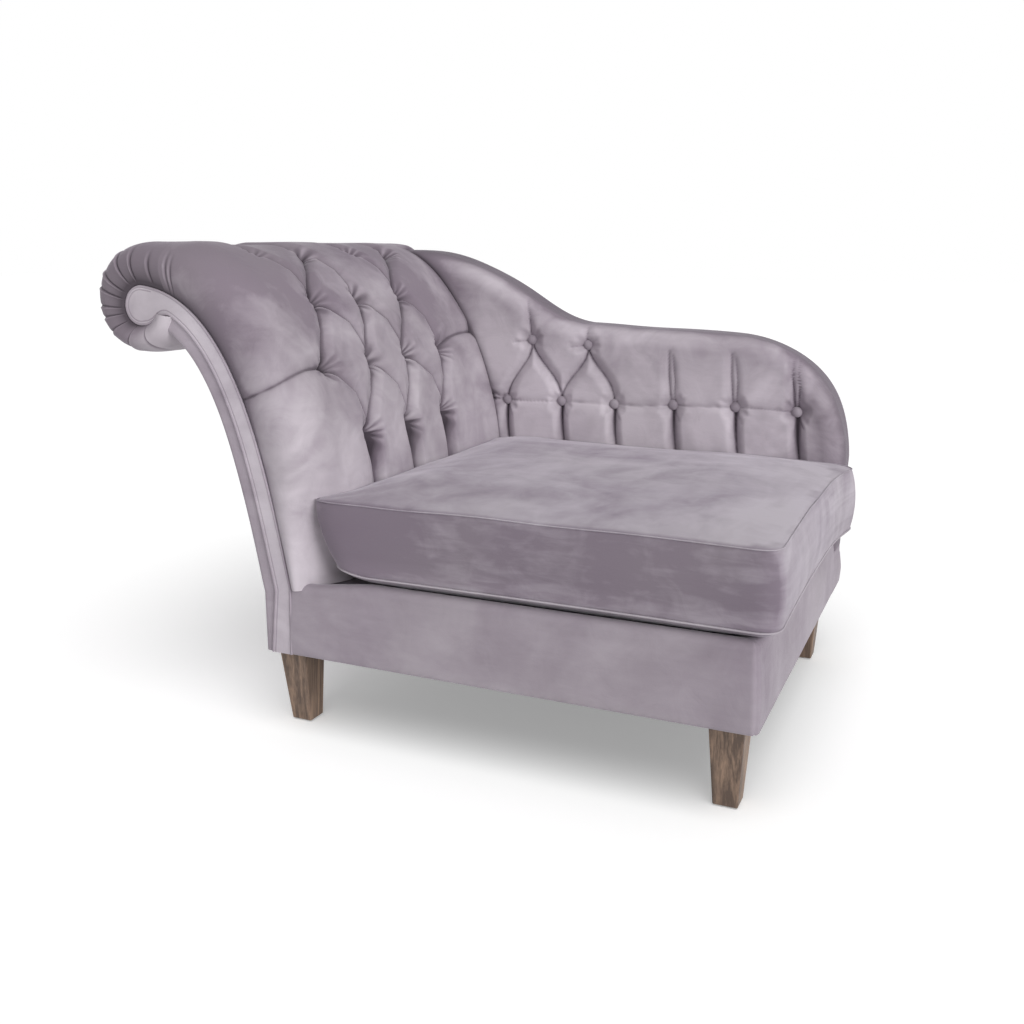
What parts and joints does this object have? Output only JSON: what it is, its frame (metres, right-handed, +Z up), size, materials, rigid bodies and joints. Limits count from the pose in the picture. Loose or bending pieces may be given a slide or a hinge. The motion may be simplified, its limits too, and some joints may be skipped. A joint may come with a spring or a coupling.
{
  "type": "chaise longue",
  "caption": "Upholstered chaise longue with one scrolled, deep-tufted head end, a buttoned arm sweeping down its back, a loose box cushion and tapered wooden legs.",
  "frame": {"origin": "on the floor under the middle of the length and of the depth", "axes": "+X from the scrolled head end to the foot end, +Y from the open front to the arm along the back, +Z up"},
  "size_m": [1.29, 0.851, 0.88],
  "materials": {
    "velvet": "crushed velvet, mauve-grey, soft blotchy nap",
    "foam": "upholstery foam",
    "frame_timber": "sawn timber and plywood",
    "leg_oak": "stained oak, satin, weathered grain",
    "webbing": "woven elastic webbing",
    "hessian": "open woven hessian and twine",
    "lining": "plain platform cloth",
    "dust_cloth": "black non-woven cloth",
    "steel": "zinc plated",
    "nylon": "moulded nylon"
  },
  "bodies": {
    "frame": {"arm_board": "frame_timber", "arm_buttons": "velvet", "arm_foam": "foam", "arm_inside_cover": "velvet", "arm_posts": "frame_timber", "back_rail": "frame_timber", "button_toggles": "frame_timber", "button_twines": "hessian", "centre_rail": "frame_timber", "deck_cloth": "lining", "deck_pad": "foam", "dust_cover": "dust_cloth", "facing_back": "velvet", "facing_front": "velvet", "facing_welt_back": "velvet", "facing_welt_front": "velvet", "foot_cover": "velvet", "foot_rail": "frame_timber", "front_cover": "velvet", "front_rail": "frame_timber", "head_cover": "velvet", "head_foam": "foam", "head_hessian": "hessian", "head_outside_cover": "velvet", "head_rail": "frame_timber", "head_webbing": "webbing", "leg_back_foot": "leg_oak", "leg_back_head": "leg_oak", "leg_blocks": "frame_timber", "leg_bolts": "steel", "leg_front_foot": "leg_oak", "leg_front_head": "leg_oak", "leg_glides": "nylon", "outside_back_cover": "velvet", "scroll_cross_rails": "frame_timber", "scroll_panel_back": "frame_timber", "scroll_panel_front": "frame_timber", "scroll_pole": "frame_timber", "seat_hessian": "hessian", "tee_nuts": "steel", "webbing_across": "webbing", "webbing_along": "webbing"},
    "seat_cushion": {"cushion_cover": "velvet", "cushion_core": "foam"}
  },
  "joints": [
    {"name": "cushion_lift", "type": "slide", "parent": "frame", "child": "seat_cushion", "axis": [0, 0, 1], "range_m": [0, 0.5]}
  ]
}
